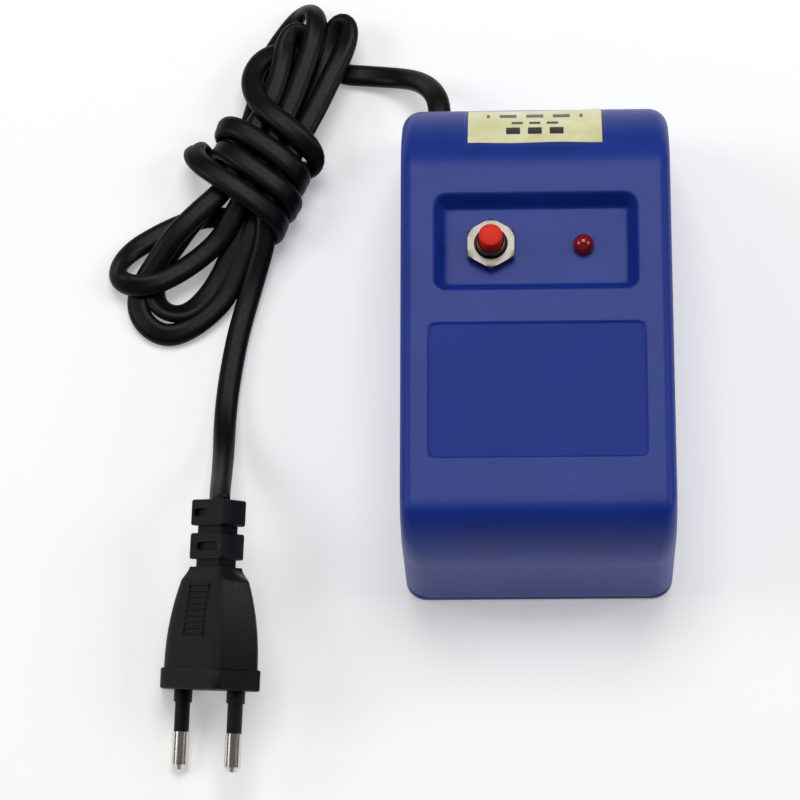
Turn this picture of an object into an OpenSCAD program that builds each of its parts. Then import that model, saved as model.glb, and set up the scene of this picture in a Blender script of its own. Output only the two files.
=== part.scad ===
// Bench demagnetizer: moulded box with a push button, a lamp, a coil on an open E core,
// and a flat mains lead that is folded up and tied in its own knot.
// Millimetres. +Z up, +Y to the rear where the lead leaves, origin under the middle of the box.

/* [Box] */
// Length of the box, front to rear
body_l = 120; // [112:1:146]
// Width of the box
body_w = 64; // [60:1:80]
// Height of the box, feet included
body_h = 45; // [42:1:58]
// Wall thickness of the shell
wall = 2.2; // [1.8:0.1:2.8]
// Plan radius of the upright corners
corner_r = 5; // [3:0.5:8]
// Radius along the long upper edges
edge_r = 2.9; // [1.5:0.1:4]
// Length of the curved front slope, seen from above
front_slope = 8.8; // [6:0.1:12]
// Drop of the curved front slope
front_drop = 20; // [14:1:24]
// Length of the curved rear slope, seen from above
rear_slope = 21; // [14:0.5:24]
// Drop of the curved rear slope
rear_drop = 22; // [16:1:26]
// How far the front wall leans out below its slope
front_lean = 1.5; // [0.5:0.1:3]
// How far the rear wall leans out below its slope
rear_lean = 3.7; // [1:0.1:5]

/* [Base and feet] */
// Thickness of the base plate
base_t = 2; // [1.6:0.1:3]
// Height of the locating rim on the base plate
rim_h = 2; // [1:0.2:4]
// Play between the rim and the shell, each side
rim_play = 0.2; // [0.1:0.05:0.5]
// How far the feet stand below the base plate
foot_h = 1; // [0.6:0.1:2]
// Diameter of a foot
foot_d = 10; // [8:0.5:14]
// Depth of the pockets that hold the feet
foot_sink = 0.8; // [0.4:0.1:1.2]
// Shank diameter of the base screws
base_screw_d = 2.6; // [2.2:0.1:3.5]
// Length of the base screws
base_screw_l = 12; // [10:1:16]
// Outer diameter of the screw bosses
boss_d = 7; // [6:0.5:9]

/* [Top face] */
// Width of the control recess at the top face
recess_w = 48; // [44:1:54]
// Length of the control recess at the top face
recess_l = 24; // [22:1:28]
// Depth of the control recess
recess_d = 4; // [2.5:0.1:5]
// How far the recess walls slope in
recess_slope = 2.4; // [1:0.1:3.5]
// Distance of the recess centre behind the box centre
recess_y = 15.5; // [14:0.5:20]
// Width of the watch rest panel
rest_w = 51; // [40:1:56]
// Length of the watch rest panel
rest_l = 33; // [28:1:36]
// Depth of the watch rest panel
rest_d = 0.4; // [0.2:0.1:0.6]
// Distance of the watch rest centre in front of the box centre
rest_y = 21.2; // [19:0.1:24]
// Width of the label
label_w = 32; // [20:1:40]
// Length of the label, seen from above
label_l = 13; // [8:0.5:16]
// Thickness of the label
label_t = 0.25; // [0.15:0.05:0.4]
// Gap round the label in its pocket
label_gap = 1; // [0.4:0.1:1.5]

/* [Push button] */
// Distance of the button to the left of the box centre
button_x = 10.6; // [8:0.1:13]
// Outer diameter of the threaded bush
bush_d = 6.9; // [6:0.1:8]
// Height of the bush above the recess floor
bush_up = 4.3; // [3.5:0.1:6]
// Diameter of the cap
cap_d = 5.6; // [4.5:0.1:6]
// Radial running clearance of the cap in its bush
cap_play = 0.08; // [0.05:0.01:0.1]
// Height of the cap above the bush
cap_up = 4.2; // [3:0.1:6]
// Travel of the button
travel = 1.5; // [1:0.1:2]
// Width of the nut across its flats
nut_af = 11; // [9:0.5:12]
// Thickness of the nut
nut_t = 2; // [1.5:0.1:2.5]
// Thickness of the lock washer
washer_t = 0.5; // [0.3:0.1:0.8]
// Outer diameter of the switch case
case_d = 10.5; // [9.5:0.5:13]
// Depth of the switch case
case_h = 13; // [12:0.5:16]

/* [Lamp] */
// Distance of the lamp to the right of the box centre
lamp_x = 11.2; // [9:0.1:14]
// Diameter of the lamp's lens
lamp_d = 5; // [3:1:5]
// Height of the lamp above the recess floor
lamp_up = 3.4; // [2:0.1:5]
// Length of the lamp's board
board_w = 20; // [18:1:24]
// Width of the lamp's board
board_l = 12; // [10:1:14]
// Thickness of the lamp's board
board_t = 1.6; // [1:0.1:2]
// Depth of the board below the lamp's flange
lamp_leg = 6; // [4:0.5:8]

/* [Magnet] */
// Width of the E core
core_w = 48; // [42:1:52]
// Height of the E core
core_h = 31; // [26:1:34]
// Thickness of the stack of laminations
stack = 18; // [12:1:22]
// Width of the core's middle leg
leg_w = 16; // [12:1:20]
// Thickness of the core's yoke
yoke_t = 8; // [6:0.5:10]
// Height of the bosses that carry the core
core_boss_h = 4; // [3:0.5:5]
// Thickness of the bobbin's walls
bobbin_t = 0.9; // [0.6:0.1:1.2]
// Gap between the bobbin and the core
bobbin_gap = 0.15; // [0.1:0.05:0.3]
// Thickness of the core brackets
bracket_t = 1.2; // [0.8:0.1:2]
// Diameter of the through bolts of the core
bolt_d = 3; // [2.5:0.5:4]

/* [Lead] */
// Width of the flat lead
lead_w = 5.6; // [5:0.1:6]
// Thickness of the flat lead
lead_t = 3.2; // [2.8:0.1:3.6]
// Distance of the lead from the inside of the left wall
lead_in = 6.3; // [6.3:0.1:8]
// Height of the lead where it leaves the box
lead_z = 16; // [14:0.5:20]
// Wall of the grommet round the lead
grommet_t = 1.3; // [1:0.1:1.6]
// Distance of the lead clamp in front of the box's rear end
clamp_in = 15; // [12.5:0.5:18]

/* [Plug] */
// Length of a pin in front of the plug's face
pin_l = 19; // [18:0.5:19]
// Diameter of a pin
pin_d = 4; // [4:0.1:4.8]
// Distance between the pins
pin_pitch = 18.6; // [18:0.1:19.2]
// Length of the insulating sleeve on a pin
sleeve_l = 10; // [8:0.5:11]
// Half width of the plug's six-sided flange
flange_x = 17.4; // [16:0.1:18]
// Half thickness of the plug's flange
flange_z = 6.9; // [6:0.1:8]
// Half width of the flat faces of the flange
flat_x = 10; // [8:0.5:12]
// Thickness of the flange along the plug
flange_t = 5; // [4:0.5:6]
// Length of the plug without its pins
plug_l = 45; // [42:1:50]

/* [Hidden] */
$fn = 48;
far = 400;

// Heights that follow from the driving sizes
plate_z = foot_h;
seam_z = plate_z + base_t;
floor_z = body_h - recess_d;
under_z = floor_z - wall;
front_y = -body_l / 2;
rear_y = body_l / 2;
front_top = front_y + front_lean + front_slope;
rear_top = rear_y - rear_lean - rear_slope;
start_a = 20;
lead_x = body_w / 2 - wall - lead_in;
clamp_y = rear_y - clamp_in;

// A quarter curve that starts at start_a, as [out, down] from the crease
function slope_point(a, out, down) = [
    out * (sin(a) - sin(start_a)) / (1 - sin(start_a)),
    down * (cos(start_a) - cos(a)) / cos(start_a)];
slope_angles = [for (i = [0:10]) start_a + i * (90 - start_a) / 10];

// The box seen from the side, shrunk by an inset, as [y, z]
function side_outline(in) = concat(
    [for (a = slope_angles)
        let (p = slope_point(a, front_slope, front_drop))
            [front_top + in / 3 - p[0] + in * (a - start_a) / (90 - start_a) * 2 / 3, body_h - in - p[1]]],
    [[front_y + in, plate_z], [rear_y - in, plate_z]],
    [for (i = [10:-1:0])
        let (a = slope_angles[i], p = slope_point(a, rear_slope, rear_drop))
            [rear_top - in / 3 + p[0] - in * (a - start_a) / (90 - start_a) * 2 / 3, body_h - in - p[1]]]);

module rounded(w, l, r) {
    square([w - 2 * r, l], center = true);
    square([w, l - 2 * r], center = true);
    for (x = [-1, 1], y = [-1, 1])
        translate([x * (w / 2 - r), y * (l / 2 - r)]) circle(r);
}

// Two round ends joined by a straight band
module stadium(a, b, r) {
    d = b - a;
    translate(a) circle(r);
    translate(b) circle(r);
    translate(a) rotate(atan2(d[1], d[0])) translate([0, -r]) square([norm(d), 2 * r]);
}

// The whole form of the box above the height low, shrunk by an inset
module box_form(in, low) {
    top_r = max(edge_r - in, 0.5);
    half = body_w / 2 - in;
    intersection() {
        translate([-far / 2, 0, 0]) rotate([90, 0, 90]) linear_extrude(far) polygon(side_outline(in));
        translate([0, far / 2, 0]) rotate([90, 0, 0]) linear_extrude(far) polygon(concat(
            [[-half, 0], [half, 0]],
            [for (a = [0:15:90]) [half - top_r + top_r * cos(a), body_h - in - top_r + top_r * sin(a)]],
            [for (a = [90:15:180]) [top_r - half + top_r * cos(a), body_h - in - top_r + top_r * sin(a)]]));
        translate([0, 0, low]) linear_extrude(body_h)
            rounded(2 * half, body_l - 2 * in, max(corner_r - in, 0.5));
    }
}

// The control recess as a tapering pocket, grown by an amount
module recess_form(grow) {
    w = recess_w / 2 + grow;
    l = recess_l / 2 + grow;
    low = floor_z - grow;
    intersection() {
        translate([0, far / 2, 0]) rotate([90, 0, 0]) linear_extrude(far)
            polygon([[recess_slope - w, low], [w - recess_slope, low],
                [w, body_h], [w, body_h + 5], [-w, body_h + 5], [-w, body_h]]);
        translate([-far / 2, 0, 0]) rotate([90, 0, 90]) linear_extrude(far)
            polygon([[recess_slope - l, low], [l - recess_slope, low],
                [l, body_h], [l, body_h + 5], [-l, body_h + 5], [-l, body_h]]);
        linear_extrude(far) rounded(2 * w, 2 * l, 3);
    }
}

// The rear screws stand beside the clamp of the lead, and the front ones in the corners
clamp_span = lead_w + 6;
rear_screw_x = lead_x - clamp_span / 2 - boss_d / 2 - 1.7;
base_screw_at = [for (x = [-1, 1])
    for (p = [[body_w / 2 - wall - boss_d / 2 + 0.3, 11 - body_l / 2], [rear_screw_x, body_l / 2 - 11]])
        [x * p[0], p[1]]];
board_post = board_w / 2 - 2.5;
lamp_flange_z = floor_z + lamp_up - 7.6;
board_z = lamp_flange_z - lamp_leg;
board_screw_d = 2;

module housing_shell() {
    color("#1d3f9e") difference() {
        union() {
            difference() {
                box_form(0, seam_z);
                difference() {
                    box_form(wall, seam_z - 5);
                    for (p = base_screw_at) translate([p[0], p[1], 0]) cylinder(d = boss_d, h = body_h);
                }
            }
            intersection() {
                translate([0, recess_y, 0]) recess_form(wall);
                box_form(0.1, seam_z);
            }
            for (x = [-1, 1]) translate([lamp_x + x * board_post, recess_y, board_z + board_t])
                cylinder(d = 4.4, h = under_z - board_z - board_t + 0.5);
        }
        translate([0, recess_y, 0]) recess_form(0);
        translate([0, -rest_y, body_h - rest_d]) linear_extrude(5) rounded(rest_w, rest_l, 2);
        label_pocket();
        translate([-button_x, recess_y, 0]) cylinder(d = bush_d + 0.3, h = far);
        translate([lamp_x, recess_y, under_z - 1]) cylinder(d = lamp_d + 0.2, h = far);
        for (x = [-1, 1]) translate([lamp_x + x * board_post, recess_y, board_z])
            cylinder(d = board_screw_d - 0.2, h = 7);
        for (p = base_screw_at) translate([p[0], p[1], 0])
            cylinder(d = base_screw_d - 0.2, h = seam_z + base_screw_l);
        lead_run(grommet_t, rear_y - 12, 30);
    }
}

// A straight channel for the lead through the rear wall
module lead_run(grow, from, length) {
    translate([-lead_x, from, lead_z]) rotate([-90, 0, 0]) linear_extrude(length)
        stadium([lead_t / 2 - lead_w / 2, 0], [lead_w / 2 - lead_t / 2, 0], lead_t / 2 + grow);
}

label_from = rear_top + 6;
module slope_skin(outer, inner, from, to, w) {
    intersection() {
        difference() {
            box_form(outer, seam_z);
            box_form(inner, seam_z - 1);
        }
        translate([-w / 2, from, body_h / 2]) cube([w, to - from, body_h]);
    }
}
module label_pocket() {
    slope_skin(-1, label_t + 0.15, label_from - label_gap, label_from + label_l + label_gap,
        label_w + 2 * label_gap);
}
module label() {
    color("#e9e6c4") slope_skin(0.15, label_t + 0.15, label_from, label_from + label_l, label_w);
}

core_foot_y = stack / 2 + 5;
core_screw_x = core_w / 2 - 12;
core_screw_at = [for (x = [-1, 1], y = [-1, 1]) [x * core_screw_x, -rest_y + y * core_foot_y]];
block_at = [6, rear_y - 36];
block_size = [18, 10, 11];
clamp_screw_x = lead_w / 2 + 1.5;
clamp_screw_d = 2;
foot_at = [for (x = [-1, 1], y = [-1, 1]) [x * (body_w / 2 - 12), y * (body_l / 2 - 24)]];

module base_plate() {
    color("#173486") difference() {
        union() {
            intersection() {
                box_form(0, plate_z);
                translate([-far / 2, -far / 2, plate_z]) cube([far, far, base_t]);
            }
            difference() {
                intersection() {
                    box_form(wall + rim_play, plate_z);
                    translate([-far / 2, -far / 2, plate_z]) cube([far, far, base_t + rim_h]);
                }
                translate([0, 0, plate_z - 1])
                    linear_extrude(far)
                        rounded(body_w - 2 * wall - 4, body_l - 2 * wall - 5, corner_r - wall);
                for (p = base_screw_at) translate([p[0], p[1], seam_z]) cylinder(d = boss_d + 0.6, h = far);
            }
            for (p = core_screw_at) translate([p[0], p[1], plate_z + 1])
                cylinder(d = 7, h = base_t - 1 + core_boss_h);
            translate([block_at[0], block_at[1], plate_z + 1]) cylinder(d = 6, h = block_z - plate_z - 1);
            translate([-lead_x - clamp_span / 2, clamp_y - 4, plate_z + 1])
                cube([clamp_span, 8, lead_z - plate_z - 1 - 0.6]);
        }
        for (p = base_screw_at) translate([p[0], p[1], 0]) {
            cylinder(d = base_screw_d + 0.4, h = far);
            cylinder(d = base_screw_d + 3.4, h = plate_z + 1);
        }
        for (p = foot_at) translate([p[0], p[1], 0]) cylinder(d = foot_d + 0.1, h = plate_z + foot_sink);
        for (p = core_screw_at) translate([p[0], p[1], plate_z + 1])
            cylinder(d = bracket_screw_d - 0.2, h = far);
        translate([block_at[0], block_at[1], plate_z + 0.8]) cylinder(d = bracket_screw_d - 0.2, h = 12);
        for (x = [-1, 1]) translate([-lead_x + x * clamp_screw_x, clamp_y, lead_z - 9])
            cylinder(d = clamp_screw_d - 0.2, h = far);
        lead_run(0.02, clamp_y - 10, 20);
    }
}

module rubber_feet() {
    color("#26282c") for (p = foot_at) translate([p[0], p[1], 0]) {
        cylinder(d1 = foot_d - 1, d2 = foot_d, h = foot_h / 2);
        translate([0, 0, foot_h / 2]) cylinder(d = foot_d, h = foot_h / 2 + foot_sink);
    }
}

// A countersunk or round-headed screw that points up from the origin
module screw(d, l, head_d, head_h) {
    difference() {
        union() {
            cylinder(d = head_d, h = head_h);
            cylinder(d = d, h = l);
        }
        for (a = [0, 90]) rotate(a) translate([-head_d * 0.3, -0.25, -1]) cube([head_d * 0.6, 0.5, 1.5]);
    }
}

module base_screws() {
    color("#b9bcc2") for (p = base_screw_at) translate([p[0], p[1], plate_z - 0.2])
        screw(base_screw_d - 0.2, base_screw_l, base_screw_d + 3, 1.1);
}

// ---- push button ----
case_top = under_z - 1;
bush_top = floor_z + bush_up;
cap_top = bush_top + cap_up;
case_wall = 1;
disc_z = case_top - 6.8;
contact_z = disc_z - travel - 0.05;
case_floor = case_top - case_h + 1.5;
spring_wire = 0.45;
spring_r = 1.6;
term_x = 2.9;

module at_button(z) { translate([-button_x, recess_y, z]) children(); }

module switch_bushing() {
    color("#d5d7da") at_button(0) difference() {
        union() {
            translate([0, 0, case_top]) cylinder(d = case_d - 0.5, h = 1);
            translate([0, 0, case_top]) cylinder(d = bush_d, h = bush_top - case_top);
        }
        cylinder(d = cap_d + 2 * cap_play, h = far);
    }
}

module switch_nut() {
    color("#cfd2d6") at_button(floor_z + washer_t) difference() {
        rotate(30) cylinder(d = nut_af / cos(30), h = nut_t, $fn = 6);
        translate([0, 0, -1]) cylinder(d = bush_d + 0.1, h = far);
    }
}

module switch_washer() {
    color("#b7babf") at_button(floor_z) difference() {
        cylinder(d = nut_af - 0.4, h = washer_t);
        translate([0, 0, -1]) cylinder(d = bush_d + 0.4, h = far);
    }
}

module switch_case() {
    color("#202226") at_button(0) difference() {
        translate([0, 0, case_top - case_h]) cylinder(d = case_d, h = case_h);
        translate([0, 0, case_floor]) cylinder(d = case_d - 2 * case_wall, h = far);
        for (x = [-1, 1]) translate([x * term_x - 0.55, -1.05, 0]) cube([1.1, 2.1, far]);
    }
}

module switch_terminals() {
    color("#c9a050") at_button(0) for (x = [-1, 1]) {
        translate([x * term_x - 0.5, -1, case_top - case_h - 5])
            cube([1, 2, contact_z - case_top + case_h + 5]);
    }
}

module button_cap() {
    neck = cap_top - 1.2;
    color("#c4161c") at_button(0) union() {
        translate([0, 0, case_top + 0.5]) cylinder(d = cap_d, h = neck - case_top - 0.5);
        translate([0, 0, neck]) rotate_extrude() intersection() {
            translate([cap_d / 2 - 1.2, 0]) union() {
                circle(1.2);
                translate([-cap_d, -2]) square([cap_d, 3.2]);
            }
            square([cap_d / 2, 1.2]);
        }
        translate([0, 0, case_top - 1.5]) cylinder(d = cap_d, h = 2.01);
        translate([0, 0, case_top - 1.5]) cylinder(d = cap_d + 1.6, h = 1.4);
        translate([0, 0, disc_z + 0.6]) cylinder(d = 3, h = case_top - 1.4 - disc_z - 0.6);
        translate([0, 0, disc_z - 1]) cylinder(d = 1.8, h = 2);
    }
}

module contact_disc() {
    color("#c9a050") at_button(disc_z) difference() {
        cylinder(d = 2 * term_x + 1, h = 0.6);
        translate([0, 0, -1]) cylinder(d = 1.8, h = 3);
    }
}

module switch_spring() {
    turns = 4;
    steps = 12;
    low = case_floor + spring_wire;
    high = disc_z - spring_wire;
    color("#9aa0a6") at_button(0) tube([for (i = [0:turns * steps])
        let (a = 360 * i / steps, rise = (high - low) / (turns * steps))
            [spring_r * cos(a), spring_r * sin(a), low + i * rise]],
        spring_wire * 0.9, spring_wire * 0.9);
}

// ---- lamp ----
module at_lamp(z) { translate([lamp_x, recess_y, z]) children(); }

module led_lamp() {
    color("#e0161c") at_lamp(lamp_flange_z) rotate_extrude() {
        square([lamp_d / 2 + 0.4, 1]);
        square([lamp_d / 2, 7.6 - lamp_d / 2]);
        translate([0, 7.6 - lamp_d / 2]) intersection() {
            circle(lamp_d / 2);
            square(lamp_d);
        }
    }
}

module led_leads() {
    color("#c0c3c8") at_lamp(0) for (x = [-1, 1])
        translate([x * 1.27 - 0.25, -0.25, board_z - 1.5]) cube([0.5, 0.5, lamp_flange_z - board_z + 1.5]);
}

module led_board() {
    color("#2c6b3a") at_lamp(board_z) difference() {
        translate([-board_w / 2, -board_l / 2, 0]) cube([board_w, board_l, board_t]);
        for (x = [-1, 1]) {
            translate([x * board_post, 0, -1]) cylinder(d = board_screw_d + 0.2, h = far);
            translate([x * 1.27 - 0.3, -0.3, -1]) cube([0.6, 0.6, far]);
        }
    }
}

module axial_part(d, l, reach, low) {
    rotate([0, 90, 0]) cylinder(d = d, h = l, center = true);
    for (x = [-1, 1]) translate([x * reach, 0, 0]) {
        translate([0, 0, -low]) cylinder(d = 0.6, h = low, $fn = 16);
        translate([x > 0 ? -reach + l / 2 : 0, 0, 0]) rotate([0, 90, 0])
            cylinder(d = 0.6, h = reach - l / 2, $fn = 16);
    }
}

module led_resistor() {
    color("#c8a878") at_lamp(board_z + board_t + 1.6) translate([0, -4.3, 0]) axial_part(2.4, 6, 5, 1.6);
}

module led_diode() {
    color("#2a2a2e") at_lamp(board_z + board_t + 1.6) translate([0, 4.3, 0]) axial_part(2, 4.2, 4.5, 1.6);
}

module board_screws() {
    color("#b9bcc2") at_lamp(board_z - 1.2) for (x = [-1, 1]) translate([x * board_post, 0, 0])
        screw(board_screw_d - 0.2, 7, board_screw_d + 1.4, 1.2);
}

// ---- magnet ----
bracket_screw_d = 2.8;
core_low = seam_z + core_boss_h + bracket_t;
window_w = (core_w - 2 * yoke_t - leg_w) / 2;
bobbin_low = core_low + yoke_t + 0.2;
bobbin_high = core_low + core_h - 0.4;
bobbin_flange_w = leg_w + 2 * window_w - 0.6;
bobbin_flange_l = stack + 2 * window_w;
coil_w = bobbin_flange_w - 2.2;
coil_l = bobbin_flange_l - 2.2;
core_bolt_x = core_w / 2 - yoke_t / 2;
core_bolt_z = core_low + yoke_t / 2;

module at_core(z) { translate([0, -rest_y, z]) children(); }

module core_laminations() {
    color("#70747a") at_core(core_low) difference() {
        translate([-core_w / 2, -stack / 2, 0]) cube([core_w, stack, core_h]);
        for (x = [-1, 1]) translate([x * (leg_w + window_w) / 2 - window_w / 2, -stack, yoke_t])
            cube([window_w, 2 * stack, core_h]);
        for (x = [-1, 1]) translate([x * core_bolt_x, 0, yoke_t / 2])
            rotate([90, 0, 0]) cylinder(d = bolt_d + 0.2, h = 2 * stack, center = true);
    }
}

module core_brackets() {
    foot = 10;
    color("#a9adb3") for (s = [0, 1]) at_core(0) mirror([0, s, 0]) difference() {
        union() {
            translate([-core_w / 2, stack / 2, core_low - bracket_t]) cube([core_w, foot, bracket_t]);
            translate([-core_w / 2, stack / 2, core_low - bracket_t])
                cube([core_w, bracket_t, yoke_t + bracket_t - 0.4]);
        }
        for (x = [-1, 1]) {
            translate([x * core_screw_x, core_foot_y, 0]) cylinder(d = bracket_screw_d + 0.3, h = far);
            translate([x * core_bolt_x, 0, core_bolt_z]) rotate([-90, 0, 0])
                cylinder(d = bolt_d + 0.2, h = far);
        }
    }
}

bolt_reach = stack / 2 + bracket_t;
module core_bolts() {
    color("#c2c5ca") for (x = [-1, 1]) at_core(core_bolt_z) translate([x * core_bolt_x, 0, 0]) {
        rotate([90, 0, 0]) cylinder(d = bolt_d, h = 2 * bolt_reach + 5, center = true);
        translate([0, bolt_reach + 2, 0]) rotate([90, 0, 0]) cylinder(d = bolt_d * 1.8, h = 2);
    }
}

module core_nuts() {
    color("#b4b8bd") for (x = [-1, 1]) at_core(core_bolt_z) translate([x * core_bolt_x, -bolt_reach, 0])
        rotate([90, 0, 0]) difference() {
            cylinder(d = bolt_d * 2, h = 2, $fn = 6);
            translate([0, 0, -1]) cylinder(d = bolt_d, h = 5);
        }
}

module bracket_screws() {
    color("#b9bcc2") for (p = core_screw_at) translate([p[0], p[1], core_low + 1.6]) mirror([0, 0, 1])
        screw(bracket_screw_d - 0.2, core_boss_h + bracket_t + 1.8, bracket_screw_d + 2.6, 1.6);
}

module coil_bobbin() {
    inner_w = leg_w + 2 * bobbin_gap;
    inner_l = stack + 2 * bobbin_gap;
    color("#e8e4d8") at_core(0) difference() {
        union() {
            translate([0, 0, bobbin_low]) linear_extrude(bobbin_high - bobbin_low)
                rounded(inner_w + 2 * bobbin_t, inner_l + 2 * bobbin_t, bobbin_t);
            for (z = [bobbin_low, bobbin_high - 1]) translate([0, 0, z]) linear_extrude(1)
                rounded(bobbin_flange_w, bobbin_flange_l, 1.5);
        }
        translate([-inner_w / 2, -inner_l / 2, 0]) cube([inner_w, inner_l, far]);
    }
}

module coil_ring(w, l, r, hole_w, hole_l, hole_r, low, high) {
    at_core(low) linear_extrude(high - low) difference() {
        rounded(w, l, r);
        rounded(hole_w, hole_l, hole_r);
    }
}

module coil_winding() {
    color("#a8562a") coil_ring(coil_w, coil_l, 4,
        leg_w + 2 * (bobbin_gap + bobbin_t), stack + 2 * (bobbin_gap + bobbin_t), bobbin_t,
        bobbin_low + 1, bobbin_high - 1);
}

module coil_tape() {
    color("#d9b93a")
        coil_ring(coil_w + 0.8, coil_l + 0.8, 4.4, coil_w, coil_l, 4, bobbin_low + 1.5, bobbin_high - 1.5);
}

tag_x = 9;
tag_w = 4;
tag_z = bobbin_high - 0.75;
tag_y = -rest_y + bobbin_flange_l / 2;
module coil_tags() {
    color("#c9a050") for (x = [-1, 1]) translate([x * tag_x - tag_w / 2, tag_y, tag_z])
        cube([tag_w, 4.5, 0.5]);
}

// ---- terminal block ----
block_z = seam_z + 0.5;
pole_pitch = 9;
pole_x = [-pole_pitch / 2, pole_pitch / 2];
barrel_z = block_z + 5;

module at_block(z) { translate([block_at[0], block_at[1], z]) children(); }

module terminal_block() {
    color("#ece9df") at_block(block_z) difference() {
        translate([-block_size[0] / 2, -block_size[1] / 2, 0]) cube(block_size);
        for (x = pole_x) {
            translate([x, 0, 5]) rotate([90, 0, 0]) cylinder(d = 4, h = far, center = true);
            for (y = [-1, 1]) translate([x, y * 2.6, 5]) cylinder(d = 3, h = far);
        }
        translate([0, 0, -1]) cylinder(d = bracket_screw_d + 0.2, h = far);
    }
}

module terminal_barrels() {
    color("#c9a050") at_block(barrel_z) for (x = pole_x) translate([x, 0, 0]) difference() {
        rotate([90, 0, 0]) cylinder(d = 4, h = block_size[1] - 1, center = true);
        rotate([90, 0, 0]) cylinder(d = 2.6, h = far, center = true);
        for (y = [-1, 1]) translate([0, y * 2.6, 0]) cylinder(d = 2, h = far);
    }
}

module terminal_screws() {
    color("#c0b070") at_block(barrel_z + 1) for (x = pole_x, y = [-1, 1]) translate([x, y * 2.6, 0]) {
        cylinder(d = 2, h = 2);
        translate([0, 0, 2]) cylinder(d = 2.8, h = 1.6);
    }
}

module block_screw() {
    head = block_z + block_size[2] + 1.4;
    color("#b9bcc2") at_block(head) mirror([0, 0, 1])
        screw(bracket_screw_d - 0.2, head - plate_z - 1.1, bracket_screw_d + 1.6, 1.4);
}

// ---- lead: inside the box ----
wall_y = rear_y - 2.6;
module cord_grommet() {
    color("#1b1c1e") difference() {
        union() {
            intersection() {
                lead_run(grommet_t - 0.02, wall_y - 5, 7);
                union() {
                    box_form(0, seam_z);
                    translate([-lead_x - 6, wall_y - 5, 0]) cube([12, 5, far]);
                }
            }
            lead_run(grommet_t + 1, wall_y - wall - 2.4, 1.2);
        }
        lead_run(0.02, wall_y - 20, 40);
    }
}

module cord_clamp() {
    color("#2c2e33") difference() {
        translate([-lead_x - clamp_span / 2, clamp_y - 3.5, lead_z - 0.4])
            cube([clamp_span, 7, lead_t / 2 + 2.4]);
        lead_run(0.02, clamp_y - 10, 20);
        for (x = [-1, 1]) translate([-lead_x + x * clamp_screw_x, clamp_y, 0])
            cylinder(d = clamp_screw_d + 0.1, h = far);
    }
}

module clamp_screws() {
    color("#b9bcc2") for (x = [-1, 1])
        translate([-lead_x + x * clamp_screw_x, clamp_y, lead_z + lead_t / 2 + 3.2]) mirror([0, 0, 1])
            screw(clamp_screw_d - 0.2, 11, 3, 1.2);
}

module cord_inner() {
    color("#141516") lead_run(0, clamp_y - 5, wall_y - clamp_y + 5);
}

// A tube with an oval ring at each point; side is the direction of its width
function unit(v) = v / norm(v);
function tangent(p, i) = unit(p[min(i + 1, len(p) - 1)] - p[max(i - 1, 0)]);
module tube(p, a, b, ref = [0, 0, 1], sides = 8) {
    rings = [for (i = [0:len(p) - 1])
        let (t = tangent(p, i), side = unit(cross(t, ref)), up = cross(side, t))
            for (k = [0:sides - 1]) p[i] + side * a * cos(360 * k / sides) + up * b * sin(360 * k / sides)];
    n = len(p);
    polyhedron(rings, concat(
        [[for (k = [0:sides - 1]) k]],
        [for (i = [0:n - 2], k = [0:sides - 1])
            let (m = (k + 1) % sides)
                [i * sides + k, (i + 1) * sides + k, (i + 1) * sides + m, i * sides + m]],
        [[for (k = [sides - 1:-1:0]) (n - 1) * sides + k]]), convexity = 6);
}

// A smooth line through its points, with some steps between each two
function curve_point(p, i, t) = let (
    a = p[max(i - 1, 0)], b = p[i], c = p[i + 1], d = p[min(i + 2, len(p) - 1)])
    0.5 * (2 * b + (c - a) * t + (2 * a - 5 * b + 4 * c - d) * t * t + (3 * b - a - 3 * c + d) * t * t * t);
function smooth(p, steps) = concat(
    [for (i = [0:len(p) - 2], k = [0:steps - 1]) curve_point(p, i, k / steps)], [p[len(p) - 1]]);

wire_r = 0.8;
thin_r = 0.5;
module wire(p, r = wire_r, ref = [1, 0.1, 0.05]) { tube(smooth(p, 3), r, r, ref); }

block_front = block_at[1] - block_size[1] / 2;
block_rear = block_at[1] + block_size[1] / 2;
cord_end = clamp_y - 5;
switch_low = case_top - case_h - 5;
under_tag = tag_z - wire_r;

// From the end of the lead round to the rear of the terminal block
module mains_wires() {
    color("#7a4a2a") for (k = [0, 1]) {
        x0 = -lead_x + (k == 0 ? -1 : 1) * lead_w / 4;
        x1 = block_at[0] + pole_x[k];
        y = block_rear + 3.8 + 2.2 * k;
        wire([[x0, cord_end, lead_z], [x0 + 0.3, cord_end - 2.2, lead_z - 0.4],
            [x0 + 1.8, y + 1, lead_z - 1.8], [x0 + 5, y, lead_z - 3.6],
            [(x0 + x1) / 2, y, barrel_z + 1.2], [x1 - 4.5, y, barrel_z + 0.2],
            [x1 - 1, y - 1.3, barrel_z], [x1, y - 3.6, barrel_z], [x1, block_rear - 2, barrel_z]],
            ref = [0, 0, 1]);
    }
}

// From the switch to the terminal block, and from the switch to the coil
module switch_wires() {
    x1 = block_at[0] + pole_x[0];
    color("#b03030") {
        wire([[-button_x - term_x, recess_y, switch_low - 0.05],
            [-button_x - term_x, recess_y, switch_low - 2],
            [-button_x - term_x, recess_y + 0.6, switch_low - 5],
            [-button_x - 2, recess_y - 1, 10], [x1 - 2, block_front - 8, barrel_z - 1],
            [x1, block_front - 3, barrel_z], [x1, block_front + 2, barrel_z]]);
        wire([[-button_x + term_x, recess_y, switch_low - 0.05],
            [-button_x + term_x, recess_y, switch_low - 2],
            [-button_x + term_x, recess_y - 1, switch_low - 4.5],
            [-tag_x - 1, tag_y + 10, switch_low - 4], [-tag_x - 1, tag_y + 5.5, under_tag - 8],
            [-tag_x - 1, tag_y + 5, under_tag - 2.5], [-tag_x - 1, tag_y + 1, under_tag]]);
    }
}

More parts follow.
